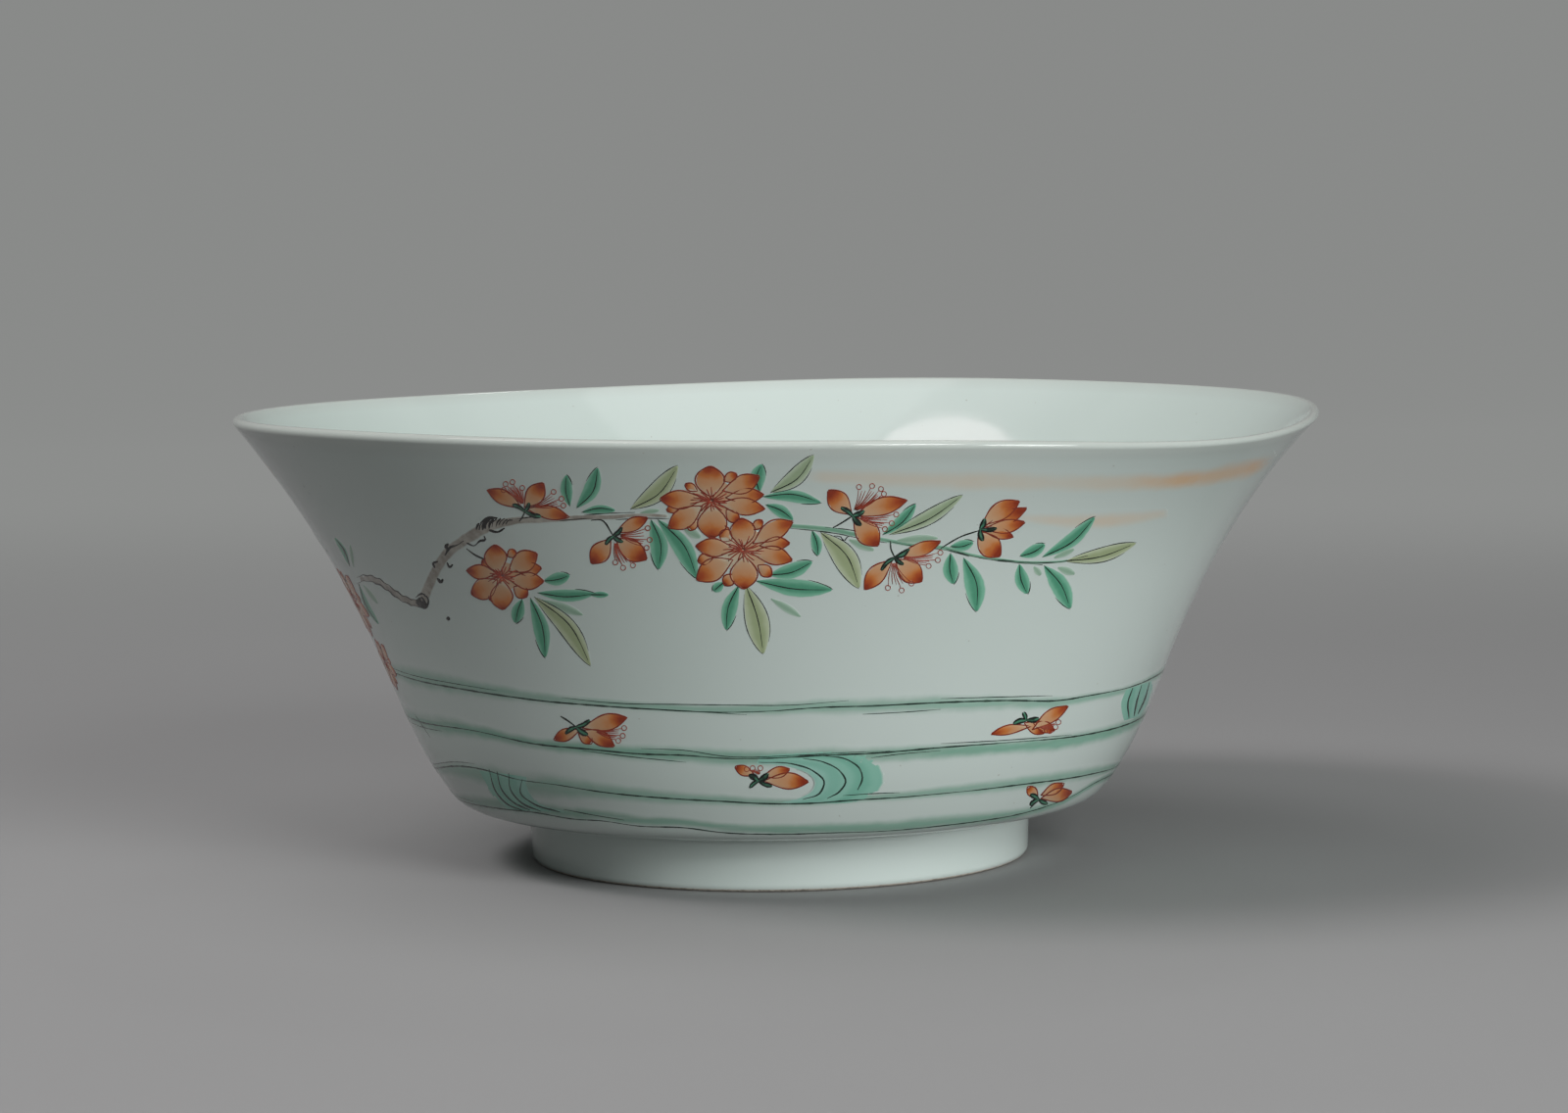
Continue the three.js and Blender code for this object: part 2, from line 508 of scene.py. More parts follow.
def turned(name, profile, segments, closed=False, bend=np.asarray):
    """A mesh with a map: a profile of radius and height, turned about the upright axis and then bent."""
    angles = np.linspace(0, 2 * math.pi, segments, endpoint=False)
    rows = len(profile)
    points = np.stack([
        np.outer(np.sin(angles), profile[:, 0]),
        np.outer(-np.cos(angles), profile[:, 0]),
        np.tile(profile[:, 1], (segments, 1)),
    ], axis=-1)
    reach = lengths(profile) / lengths(profile)[-1]
    faces = []
    places = []
    for i in range(segments):
        j = (i + 1) % segments
        left, right = i / segments, (i + 1) / segments
        for k in range(rows if closed else rows - 1):
            n = (k + 1) % rows
            low, high = reach[k], reach[n] if n else 1.0
            faces.append((i * rows + k, j * rows + k, j * rows + n, i * rows + n))
            places.append(((left, low), (right, low), (right, high), (left, high)))
    mesh = bpy.data.meshes.new(name)
    mesh.from_pydata(bend(points.reshape(-1, 3)).tolist(), [], faces)
    add_map(mesh, np.array(places).reshape(-1, 2))
    return mesh


def pot_piece(name, profile, marks, material, closed=False):
    """A glazed piece of the pot. Marks hold one value for each point of its profile."""
    mesh = turned(name, profile, SEGMENTS_ROUND, closed, lambda points: sagged(MM * points))
    add_marks(mesh, "mark", np.tile(marks, SEGMENTS_ROUND))
    piece = place_piece(mesh, material)
    mesh.set_sharp_from_angle(angle=math.radians(SHARP_ANGLE))
    return piece


# Brushwork. Line widths and spacings are in millimetres, and shapes are in the canvas's own units.


def brush(coat, canvas, points, width, top=LINE_LIFT, start=0.25, end=0.35, tip=0.3, wobble=0.1, spacing=0.6):
    """A drawn line whose width grows over its start and thins over its end, shares of its length."""
    path = smooth_path(points, spacing / canvas.unit)
    t = np.linspace(0, 1, len(path))
    swell = np.clip(np.minimum(t / start, (1 - t) / end), 0, 1)
    swell = tip + (1 - tip) * np.sin(swell * math.pi / 2)
    waves = random.uniform(0, 2 * math.pi, 2)
    reach = lengths(path) * canvas.unit
    shake = 1 + wobble * (np.sin(reach * QUICK_SHAKE + waves[0]) + np.sin(reach * SLOW_SHAKE + waves[1]))
    grid = ribbon(path, width / 2 / canvas.unit * swell * shake, LINE_ACROSS)
    coat.lay(canvas, grid, LINE_ACROSS, top, line=True)


def strokes(coat, canvas, rows, width, **how):
    for points in rows:
        brush(coat, canvas, points, width, **how)


def paint_all(paint, panel, rows):
    for values in rows:
        paint(panel, *values)


def bent(start, end, bend):
    """Three places of a curve that bulges to the right by a share of its length."""
    start, end = np.array(start, float), np.array(end, float)
    across = np.array([start[1] - end[1], end[0] - start[0]])
    return np.array([start, (start + end) / 2 + bend * across, end])


def blade(coat, canvas, points, width, widest, fullness, top, shade=0.0):
    """A petal or leaf: both ends are narrow, and it is widest at a share of its length."""
    path = smooth_path(points, BLADE_SPACING / canvas.unit)
    t = np.linspace(0, 1, len(path))
    swell = np.clip(np.sin(math.pi * t ** (math.log(0.5) / math.log(widest))), 0, 1) ** fullness
    across = shares_across(width * canvas.unit)
    grid = ribbon(path, np.maximum(width / 2 * swell, LEAST_HALF_WIDTH), across)
    coat.lay(canvas, grid, across, top, shade)
    return grid


def wash(coat, canvas, points, widths, top, shades=0.0, spacing=0.8):
    """A band of enamel along a path, with a width at each of its places, and one shade or one at each."""
    path = smooth_path(points, spacing / canvas.unit)
    reach = lengths(np.asarray(points, float))
    share, places = np.linspace(0, 1, len(path)), reach / reach[-1]
    half = np.interp(share, places, widths) / 2
    shade = np.interp(share, places, np.broadcast_to(shades, len(places)))
    across = shares_across(half.max() * 2 * canvas.unit)
    coat.lay(canvas, ribbon(path, half, across), across, top, shade)


petals = Coat("petals")
petal_lines = Coat("petal_lines")
stamens = Coat("stamens")
leaves = Coat("leaves")
leaf_lines = Coat("leaf_lines")
calyxes = Coat("calyxes")
wood = Coat("branch_wood")
wood_lines = Coat("branch_lines")
water = Coat("water_wash")
crests = Coat("water_crests")
water_lines = Coat("water_lines")
clouds = Coat("cloud_wash")


def petal(panel, base, tip, width, layer, warmth=1.0):
    """A filled petal with a fine outline. Slender ones are more pointed, and later layers lie on top."""
    top = PETAL_LIFT + PETAL_STEP * layer
    fullness = min(max(PETAL_FULLNESS - PETAL_POINT * width / math.dist(base, tip), PETAL_LEAST), 1.0)
    middle = bent(base, tip, PETAL_SWAY * random.uniform(-1, 1))
    shade = warmth * random.uniform(*PETAL_WARMTHS)
    grid = blade(petals, panel, middle, PETAL_SPREAD * width, PETAL_WIDEST, fullness, top, shade)
    rim = np.vstack([grid[:, 0], grid[-2:0:-1, -1], grid[:1, 0]])
    brush(petal_lines, panel, rim, PETAL_LINE, top + PETAL_LINE_RISE, 0.04, 0.04, tip=0.7, spacing=0.45)


# Open blossoms: the middle, and the petals from the back to the front, each with its base, tip and width
UPPER_BLOSSOM = ((725.5, 511), (
    ((712, 501), (699, 494), 8), ((738, 491), (752, 484), 10), ((696, 515), (680, 521), 9),
    ((712, 530), (703, 541), 10), ((741, 520), (754, 532), 12), ((736, 536), (742, 546), 9),
    ((740, 508), (779.5, 505), 15), ((737, 501), (775, 486), 18), ((733, 514), (780.5, 519.5), 17),
    ((717, 516), (682, 538.5), 20), ((719, 509), (673, 509), 18), ((726, 515), (726, 549), 29),
    ((726, 507), (725, 476), 29),
))
LOWER_BLOSSOM = ((758, 561), (
    ((747, 551), (735, 543), 13), ((767, 540), (778, 531), 9), ((773, 577), (787, 588), 12),
    ((749, 586), (739, 597), 12), ((728, 569), (712, 573), 11), ((775, 557), (806, 554.5), 13),
    ((768, 555), (809, 532.5), 19), ((766, 564), (808.5, 572), 18), ((748, 571), (711, 592), 22),
    ((750, 560), (710, 557), 18), ((759, 567), (759, 601), 27), ((757.5, 558), (756, 529), 25),
))
LEFT_BLOSSOM = ((512, 588), (
    ((503, 579), (492, 572), 11), ((518, 568), (526, 562), 9), ((524, 599), (538, 609), 13),
    ((506, 604), (500, 613), 8), ((525, 581), (552.5, 580), 14), ((519, 583), (548, 565), 21),
    ((519, 591), (555, 593.5), 17), ((508, 592), (481, 606), 21), ((507, 585), (476, 582), 14),
    ((513, 592), (513.5, 622), 22), ((510, 585), (505, 556), 22),
))
STAMEN_COUNT = 20
STAMEN_REACH = (20, 13)
STAMEN_LENGTHS = (0.72, 1.18)
STAMEN_JITTER = 0.3
HEART_REACH = (31, 23)
HEART_SHADE = 0.34
SIDE_WARMTH = 1.1
LEFT_SIZE = 0.7
LOWER_LAYER = 14


def open_blossom(panel, middle, petal_list, first_layer=0, size=1.0):
    """A blossom seen from the front, with a star of stamens."""
    middle = np.array(middle, float)
    reach = np.array(HEART_REACH) * size
    heart = (middle - (reach[0], 0), middle, middle + (reach[0], 0))
    low = PETAL_LIFT + PETAL_STEP * (first_layer - 1)
    blade(petals, panel, heart, 2 * reach[1], 0.5, 0.5, low, HEART_SHADE)
    for layer, values in enumerate(petal_list):
        petal(panel, *values, layer + first_layer)
    top = PETAL_LIFT + PETAL_STEP * (len(petal_list) + first_layer) + STAR_RISE
    for k in range(STAMEN_COUNT):
        angle = 2 * math.pi * (k + STAMEN_JITTER * random.uniform(-1, 1)) / STAMEN_COUNT
        way = np.array([math.cos(angle), math.sin(angle)]) * STAMEN_REACH * size
        thread = bent(middle + way * 0.05, middle + way * random.uniform(*STAMEN_LENGTHS), 0.04)
        brush(stamens, panel, thread, STAR_LINE, top, start=0.1, end=0.3, tip=0.7)


def stamen_fan(panel, root, rings):
    """Threads from one root, some of them ending in small rings, and two more between each pair."""
    root = np.array(root, float)
    ends = [np.array(ring, float) for ring in rings]
    angles = np.linspace(0, 2 * math.pi, 9)
    for ring in ends:
        way = ring - root
        tip = ring - way / np.linalg.norm(way) * RING_RADIUS
        thread = bent(root + way * THREAD_START, tip, 0.05)
        brush(stamens, panel, thread, STAMEN_LINE, STAMEN_LIFT, tip=0.6)
        circle = ring + RING_RADIUS * np.stack([np.cos(angles), np.sin(angles)], axis=1)
        brush(stamens, panel, circle, STAMEN_LINE, STAMEN_LIFT, 0.02, 0.02, tip=0.9, spacing=0.25)
    for a, b in zip(ends[:-1], ends[1:]):
        for share in (1 / 3, 2 / 3):
            way = a * (1 - share) + b * share - root
            thread = bent(root + way * THREAD_START, root + way * THREAD_END, 0.04)
            brush(stamens, panel, thread, STAMEN_LINE, STAMEN_LIFT, tip=0.5)


def side_blossom(panel, calyx, petal_list, fans=(), lobes=(), stem=()):
    """A blossom seen from the side: petals, threads, a dark calyx and a stem."""
    for layer, values in enumerate(petal_list):
        petal(panel, *values, layer, SIDE_WARMTH)
    paint_all(stamen_fan, panel, fans)
    lobe_lines = [bent(calyx, lobe, 0.08) for lobe in lobes]
    strokes(calyxes, panel, lobe_lines, CALYX_LINE, top=CALYX_LIFT, start=0.5, tip=0.4, spacing=0.35)
    if stem:
        brush(leaf_lines, panel, stem, STEM_LINE, tip=0.6)


# Tones of leaves, and how far a rib and a drawn outline reach along them
GREEN, YELLOW, FADED, PALE, TWIG_TONE = 0.0, 1.0, 0.78, 0.5, 0.3
RIB_BEND = 1.5
RIB_SPACING = 3.5
RIB_END = 0.94
OUTER_START = 0.12
INNER_START, INNER_END = 0.06, 0.85
GREEN_START = 0.66
SLIM_LEAF = 8


def leaf(panel, base, tip, width, bend=0.05, tone=GREEN):
    """A leaf with soft edges, a dark midrib and a partly drawn outline."""
    spread = width * LEAF_SPREAD
    grid = blade(leaves, panel, bent(base, tip, bend), spread, LEAF_WIDEST, LEAF_FULLNESS, LEAF_LIFT, tone)
    if tone == PALE:
        return
    rib = smooth_path(bent(base, tip, bend * RIB_BEND), RIB_SPACING)
    last = max(3, int(len(rib) * RIB_END))
    brush(leaf_lines, panel, rib[:last], LEAF_LINE, start=0.2, end=0.5, tip=0.35)
    rows, columns = grid.shape[:2]
    outer, inner = (2, columns - 3) if bend > 0 else (columns - 3, 2)
    if tone > PALE:
        brush(leaf_lines, panel, grid[int(rows * OUTER_START):, outer], FINE_LINE, start=0.4, end=0.2)
        inner_edge = grid[int(rows * INNER_START):int(rows * INNER_END), inner]
        brush(leaf_lines, panel, inner_edge, FINE_LINE)
    elif width > SLIM_LEAF:
        brush(leaf_lines, panel, grid[int(rows * GREEN_START):, outer], FINE_LINE, start=0.5, end=0.2)


# Painting, in pixels of the photograph. Leaves have a base, a tip, a width, a bend and, where they aren't
# green, a tone.

LEFT_LEAVES = (
    ((581.5, 517), (578, 484), 11, -0.05), ((588, 519), (610, 476.6), 14, 0.1),
    ((593, 523), (629, 521), 8, -0.06), ((554.5, 593), (582, 587), 12, 0.04),
    ((548, 605), (608, 606), 11, 0.04), ((601, 607), (622, 607), 6, 0.0),
    ((552, 612), (596, 628), 8, 0.0, PALE), ((545, 609), (603, 680), 15, -0.07, YELLOW),
    ((541, 610), (556.6, 672), 14, -0.05), ((533, 611), (526, 637), 12, 0.03),
)
MIDDLE_LEAVES = (
    ((643, 520), (692, 475), 16, 0.08, YELLOW), ((652, 524), (674, 520.5), 5, 0.0, PALE),
    ((664, 530), (672, 582), 16, -0.08), ((671, 530), (711.7, 591), 17, -0.07),
    ((775, 503), (777.5, 473), 14, -0.1), ((786, 503), (831, 464), 14, 0.08, FADED),
    ((778, 507), (838.6, 513), 11, -0.06), ((781, 515), (810, 531), 11, -0.05),
    ((697, 539), (716, 549), 8, 0.0, PALE), ((784, 587), (829.6, 573), 14, 0.06),
    ((771, 593), (850, 602), 16, 0.03), ((754, 597), (741, 644), 14, 0.06),
    ((761, 597), (779, 668), 20, -0.03, YELLOW), ((739, 594), (727, 604), 9, 0.0),
    ((785.6, 610.5), (818, 630), 7, 0.0, PALE),
)
RIGHT_LEAVES = (
    ((828.5, 541), (834.7, 568), 10, -0.05), ((837, 543), (877, 601), 20, -0.08, YELLOW),
    ((865, 550.5), (893, 562), 8, 0.0, PALE), ((900.5, 546), (935, 514), 11, 0.06),
    ((907, 546), (983, 505), 12, 0.04, FADED), ((913, 552), (958, 549), 8, 0.0, PALE),
    ((969, 558), (994, 553), 10, 0.06), ((970, 564), (973, 597), 14, 0.05),
    ((983, 569), (996.5, 625), 18, -0.08), ((1040, 568), (1067, 555), 11, 0.05),
    ((1063, 569), (1118, 527), 12, 0.06), ((1074.5, 570), (1097, 560), 6, 0.0, PALE),
    ((1086, 573), (1160, 554), 12, 0.04, YELLOW), ((1040, 575), (1048.5, 607), 13, 0.05),
    ((1054, 577.7), (1063, 588), 6, 0.0, PALE), ((1065, 577), (1092.5, 622), 17, -0.06),
    ((1078, 579), (1098, 586), 7, 0.0, PALE),
)

# Side blossoms: calyx, petals as base, tip and width, thread roots with their rings, lobes and stem
LEFT_SIDE_BLOSSOMS = (
    ((535.6, 522),
     (((536, 519), (581, 528), 13), ((533, 519), (497, 500), 14), ((535, 518), (554.5, 493), 18)),
     (((534, 516), ((514, 500), (516, 494), (523, 492), (533, 498))),
      ((541, 518), ((565, 502), (573, 509), (575, 516)))),
     ((523, 515), (540, 513), (552, 527)),
     ((535.6, 522), (533, 528), (530, 532))),
    ((625.6, 547.3),
     (((628, 544), (661, 528.5), 13), ((623, 550), (603.5, 575), 19), ((628, 549), (660, 571), 20)),
     (((630, 546), ((661, 539), (663, 551), (660, 559))),
      ((627, 552), ((628, 574), (636, 579.5), (646, 577)))),
     ((635, 538), (618, 556), (636, 553)),
     ((603, 531), (613, 530.5), (625.6, 546.5))),
)
RIGHT_SIDE_BLOSSOMS = (
    ((870, 526.6),
     (((869, 525), (845.5, 500.5), 20), ((871, 527), (926, 510.5), 17), ((871, 528), (896, 557), 23)),
     (((871, 523), ((876.6, 497), (890, 496), (899, 499), (902, 504))),
      ((874, 528), ((914.6, 525), (910, 534), (903, 540)))),
     ((858, 518), (882, 521), (879, 536)),
     ((870, 526.6), (860, 533), (849.5, 539))),
    ((913, 569),
     (((915, 568), (960, 552.5), 13), ((911, 571), (882, 602), 17), ((914, 571), (940.5, 593.5), 22)),
     (((919, 569), ((959.6, 564), (957, 571.6), (947.6, 577.6))),
      ((911, 572), ((906, 600), (920, 602.5), (930, 595.5)))),
     ((928, 560), (922, 576), (899, 582)),
     ((908.6, 552), (909, 560), (913, 569))),
    ((1000, 540),
     (((1004, 538), (1048, 518.5), 13), ((1001, 537), (1040.5, 511.5), 17), ((1003, 542), (1034, 548), 11),
      ((1003, 540), (1046, 533), 13), ((999, 542), (1020.5, 567.5), 22)),
     (),
     ((1005, 529), (1017, 539), (1003, 552)),
     ((960, 559.6), (980, 548), (999, 541.5))),
)
FALLEN_BLOSSOMS = (
    ((588, 742),
     (((590, 747), (604, 759), 11), ((592, 745), (565, 755), 12), ((594, 745), (627, 762), 14),
      ((594, 743), (640, 732.5), 16)),
     (((606, 746), ((637, 743), (635.5, 751), (631, 756))),),
     ((602, 735), (600, 750), (577, 749)),
     ((588, 742), (580, 736), (572, 731))),
    ((774, 797),
     (((770, 791), (750, 782.5), 10), ((779, 792), (806, 785), 11), ((779, 797), (825, 798), 16)),
     (((775, 791), ((762, 785), (768, 784), (776, 784))),),
     ((764, 791), (784, 789), (788, 802), (765, 804)),
     ()),
    ((1047, 735),
     (((1053, 741), (1011, 749.5), 9), ((1045, 738), (1066, 748), 12), ((1054, 738), (1076, 746), 11),
      ((1053, 745), (1090, 720.5), 12)),
     (((1060, 742), ((1080, 737), (1077, 742), (1071, 746))),),
     ((1034, 739), (1044, 727), (1060, 733)),
     ()),
    ((1060, 816),
     (((1059, 814), (1048.5, 803), 10), ((1062, 812), (1086, 799.5), 10), ((1062, 815), (1094, 808), 13)),
     (),
     ((1051, 811), (1069, 820), (1051, 822)),
     ((1060, 816), (1051, 825))),
)

# The bough from the left with the width of its wash at each place, and the strokes of its bark
BOUGH = ((429, 620), (441, 590), (449, 575), (459, 562), (470, 554), (484, 545), (497, 538), (514, 533.5),
         (529, 531), (551, 530.5), (572, 529.5), (597, 528), (628, 527.5), (646, 526), (669, 526), (684, 527))
BOUGH_WIDTHS = (13, 13, 13, 14, 14, 15, 14, 11, 9.5, 8, 7.5, 6, 5.5, 4.5, 4, 3.5)
BOUGH_TWIG = ((364, 592), (373, 590), (384, 592.5), (396, 600), (408, 609), (420, 614.5), (431, 617))
TWIG_WIDTHS = (6, 8, 8, 7.5, 8, 9, 10)
BARK_STROKES = (
    ((486, 541), (487, 537), (489, 534)), ((489, 541), (490, 536), (493, 532)),
    ((492.5, 541), (493.5, 535), (497, 531)), ((499, 540), (500, 534), (504, 530)),
    ((506, 538), (507.5, 533), (511, 529)), ((512.5, 536), (515, 532), (518, 530)),
    ((495, 540), (496, 534), (500, 530)), ((502, 538), (503, 533), (507, 529.5)),
    ((509, 536), (511, 532), (515, 529)), ((516, 535), (519, 531), (523, 531)),
    ((490, 534), (497, 529.5), (508, 528.5)), ((454, 567), (459, 559), (467, 556), (473, 552)),
    ((457, 561), (455, 557.5), (458, 555)), ((476, 554), (484, 557), (490, 552), (495, 551), (494, 547)),
    ((499, 541), (508, 543), (515, 539)), ((444, 580), (442, 575), (447, 573)),
    ((446, 590), (450, 594), (452, 591)), ((456, 574), (459, 579), (462, 576)),
    ((424, 610), (430, 606), (437, 612), (434, 620), (427, 618)), ((426, 611), (429, 615), (431, 620)),
    ((430, 609), (433, 614), (434, 619)),
)
BOUGH_EDGES = (
    ((525, 530), (545, 527.5), (566, 526)), ((571, 531.5), (588, 530), (606, 529)),
    ((596, 525.5), (620, 524), (648, 523)), ((628, 530.5), (655, 529), (683, 529.5)),
)
BLOSSOM_TWIG = ((476, 560), (484, 566), (494, 571), (501, 575))
SPECK = ((456, 630), (457.5, 631.5), (458.5, 633))
KNOT = ((426, 611), (430, 615), (435, 618))
KNOT_SIZE = 1.3
TWIG_EDGES = (-3, 3)
TWIG_WAVE, TWIG_TURN = 0.8, 0.7
RIGHT_TWIG = ((804, 536.5), (830, 538.5), (851, 541), (873, 545.5), (899, 550.5), (931, 556), (965, 559.5),
              (989, 566), (1020, 571), (1043, 573.7), (1064.5, 574), (1083, 573), (1105, 569))
RIGHT_TWIG_WIDTHS = (5, 6, 6, 6, 5, 5, 5, 4, 3.5, 3.5, 3.5, 3, 2)
TWIG_STROKES = (
    ((804, 539), (830, 541.5), (856, 545), (880, 550), (905, 554)), ((842, 538), (868, 541), (893, 546)),
    ((851, 547), (858, 548), (861, 552), (866, 547), (871, 548)),
    ((905, 552), (935, 558), (965, 561.5), (989, 568)),
    ((965, 560), (998, 569), (1030, 573.5), (1064, 576.5)),
    ((1018, 571), (1050, 574), (1085, 573), (1110, 567)),
)


def paint_bough(panel):
    """The mauve bough with its broken bark, and the twig that runs down to it."""
    wash(wood, panel, BOUGH_TWIG, TWIG_WIDTHS, WOOD_LIFT)
    wash(wood, panel, BOUGH, BOUGH_WIDTHS, WOOD_LIFT + STAGGER * STAGGERS)
    strokes(wood_lines, panel, BARK_STROKES, BARK_LINE, tip=0.45, wobble=0.3, spacing=0.3)
    edges = list(BOUGH_EDGES)
    for offset in TWIG_EDGES:
        edge = smooth_path(np.array(BOUGH_TWIG) + (0, offset), 3)
        edge[:, 1] += TWIG_WAVE * np.sin(edge[:, 0] * TWIG_TURN + offset)
        edges.append(edge)
    strokes(wood_lines, panel, edges, FINE_LINE, wobble=0.3, spacing=0.4)
    brush(wood_lines, panel, BLOSSOM_TWIG, STEM_LINE, tip=0.5)
    brush(wood_lines, panel, SPECK, SPECK_SIZE, tip=0.6, spacing=0.2)
    brush(wood_lines, panel, KNOT, KNOT_SIZE, tip=0.5, wobble=0.2, spacing=0.2)


def paint_spray(panel):
    """The bough with all its leaves and blossoms, from left to right."""
    paint_bough(panel)
    paint_all(leaf, panel, LEFT_LEAVES)
    open_blossom(panel, *LEFT_BLOSSOM, size=LEFT_SIZE)
    paint_all(side_blossom, panel, LEFT_SIDE_BLOSSOMS)
    paint_all(leaf, panel, MIDDLE_LEAVES)
    open_blossom(panel, *UPPER_BLOSSOM)
    open_blossom(panel, *LOWER_BLOSSOM, first_layer=LOWER_LAYER)
    wash(leaves, panel, RIGHT_TWIG, RIGHT_TWIG_WIDTHS, TWIG_LIFT, TWIG_TONE)
    strokes(leaf_lines, panel, TWIG_STROKES, FINE_LINE, tip=0.4, wobble=0.3)
    paint_all(leaf, panel, RIGHT_LEAVES)
    paint_all(side_blossom, panel, RIGHT_SIDE_BLOSSOMS)


# The group on the left outline. EDGE_LEAVES lie where the photograph shows them, and the rest is drawn as
# it looks from the left.
OUTLINE_TURN = -74
EDGE_LEAVES = (
    ((357, 578), (341, 548), 5, 0.05), ((361, 580), (357, 555), 3, 0.0, PALE),
    ((366, 596), (387, 638), 5, 0.05), ((370, 596), (386, 617), 4, 0.0, PALE),
)
OUTLINE_TWIG = ((780, 590), (745, 579), (700, 571), (655, 560), (610, 556))
OUTLINE_TWIG_WIDTHS = (5, 5, 4, 3, 2)
OUTLINE_LEAVES = (
    ((700, 572), (668, 606), 14, 0.05), ((690, 568), (655, 530), 14, -0.06),
    ((655, 560), (600, 585), 13, 0.05, YELLOW), ((610, 556), (565, 548), 12, 0.05),
    ((650, 560), (610, 525), 12, 0.05),
)
OUTLINE_BLOSSOMS = (((16, 80), 1.0), ((16, 144), 0.75))


def paint_outline_group():
    panel = Panel(OUTLINE_TURN)
    wash(leaves, panel, OUTLINE_TWIG, OUTLINE_TWIG_WIDTHS, TWIG_LIFT, TWIG_TONE)
    brush(leaf_lines, panel, OUTLINE_TWIG, FINE_LINE, tip=0.4, wobble=0.3)
    paint_all(leaf, panel, OUTLINE_LEAVES)
    paint_all(leaf, FRONT, EDGE_LEAVES)
    for shift, scale in OUTLINE_BLOSSOMS:
        open_blossom(Panel(OUTLINE_TURN, shift, scale), *LOWER_BLOSSOM)


# Water: places of the drawn lines on the front, from the top band down
BANDS = (
    ((430, 695.5), (464, 702), (513, 710), (559, 716), (594, 719), (667, 724), (740, 727), (782, 726),
     (838, 722), (887, 720.6), (960, 717), (1027, 715), (1080, 715), (1114, 709.5), (1147, 703),
     (1181, 689)),
    ((430, 737), (490, 747), (550.5, 760), (594, 764), (654, 769.5), (700, 771), (740, 774), (782, 774),
     (838, 771), (887, 769), (960, 763), (1027, 758), (1094, 752), (1127, 746), (1151, 739)),
    ((440, 783), (499, 787), (526, 795), (568, 801), (619, 809), (700, 816), (740, 818), (775, 820),
     (824, 820), (866, 817), (922, 813.5), (960, 810), (1000, 806), (1040, 801), (1087, 795), (1114, 790),
     (1145, 779)),
    ((463, 813), (507.5, 825), (550.5, 830), (585, 836), (616, 838), (650, 843), (700, 845), (740, 850),
     (782, 851.5), (852, 850), (907, 848), (960, 843), (1000, 838), (1040, 831), (1068, 823), (1094, 812.5),
     (1112, 802)),
)
BAND_STRENGTHS = (0.8, 1.0, 0.8, 0.9)
# How wide each band's wash is and how low it lies against its line, at places along the wall in millimetres
BAND_PLACES = (-110, -78, -60, -36, -8, 20, 36, 60, 78, 110)
BAND_SWELLS = (
    (1.0, 1.3, 1.1, 1.0, 1.0, 1.0, 1.0, 1.0, 1.0, 1.0),
    (1.0, 1.8, 1.5, 1.1, 1.0, 1.2, 1.6, 1.6, 1.1, 1.0),
    (1.0, 2.1, 2.0, 1.1, 1.0, 1.0, 1.0, 1.0, 1.0, 1.0),
    (1.0, 1.0, 1.1, 1.3, 1.2, 1.0, 1.1, 1.4, 1.4, 1.0),
)
BAND_LOWER = (
    (0.3, 0.0, 0.0, 0.0, 0.0, 0.5, 0.75, 0.75, 0.75, 0.3),
    (0.3, 0.4, 0.4, 0.3, 0.3, 0.7, 0.9, 0.9, 0.9, 0.3),
    (0.3, 0.9, 0.9, 0.3, 0.2, 0.15, 0.1, 0.1, 0.1, 0.3),
    (0.3, -0.4, -0.5, -0.5, -0.5, -0.5, -0.4, 0.4, 0.6, 0.3),
)
SHORT_LINES = (
    ((573, 712), (619, 717), (700, 719), (740, 719.5), (810, 719.5), (866, 715)),
    ((960, 713), (1000, 712), (1074, 710)), ((619, 721), (700, 725.6), (762, 729.6)),
    ((880, 729), (920, 727), (960, 724)),
    ((654, 764), (700, 766), (740, 772), (810, 771), (866, 768), (908, 766.5)),
    ((960, 759), (1000, 757), (1047, 754), (1094, 750)), ((889, 773.5), (915, 770), (960, 766)),
    ((594, 766), (640, 772), (700, 778)), ((575, 826), (606, 832), (637, 837)),
    ((860, 812), (890, 810), (918, 809)),
)
EDGE_STROKE = ((826, 757), (836, 765), (848, 778))
CREST_OUTER = ((768, 771), (820, 767.5), (860, 766), (890, 770.5), (903, 783), (906, 797), (899, 809),
               (884, 817), (850, 820.5))
CREST_INNER = ((768, 780), (792, 781.5), (810, 786), (823, 792), (828, 799), (825, 807), (815, 813),
               (801, 817), (786, 820))
CREST_ARCS = (
    ((774, 778), (810, 780), (830, 787), (841, 798), (837, 809), (819, 816)),
    ((819, 774), (841, 778), (858, 788), (863, 797), (856.5, 808), (844, 815)),
    ((838, 771), (866, 776), (877.5, 785), (880, 794), (875, 806.5)),
)
SMALL_CREST_OUTER = ((484, 784), (493, 801), (503, 817), (513, 828))
SMALL_CREST_INNER = ((541, 791), (543, 809), (554, 820), (586, 829.5))
SMALL_CREST_ARCS = (
    ((499, 785), (506, 808), (518, 821), (533, 827)), ((507, 787), (512, 806), (524, 819), (541, 827)),
    ((519, 789), (521, 806), (533, 820), (552, 828)), ((533, 795), (531, 809), (544, 820), (572, 829)),
)
EDGE_CREST_OUTER = ((1147, 704), (1142, 719), (1146, 737))
EDGE_CREST_INNER = ((1179, 692), (1175, 717), (1163, 732))
EDGE_CREST_ARCS = (
    ((1156, 702), (1151, 717), (1152, 733)), ((1165, 699), (1160, 716), (1157, 731)),
    ((1173, 696), (1168, 714), (1161, 729)),
)
BAND_STEPS = 14
BAND_WAVE = 0.7
SWELL_WAVE = 0.3
SWELL_TURN = 0.06
WATER_RUN = (60, 110)
WATER_OVERLAP = (6, 14)
REAR_RUN = (24, 46)
REAR_OFFSETS = (-1.1, 0.9)
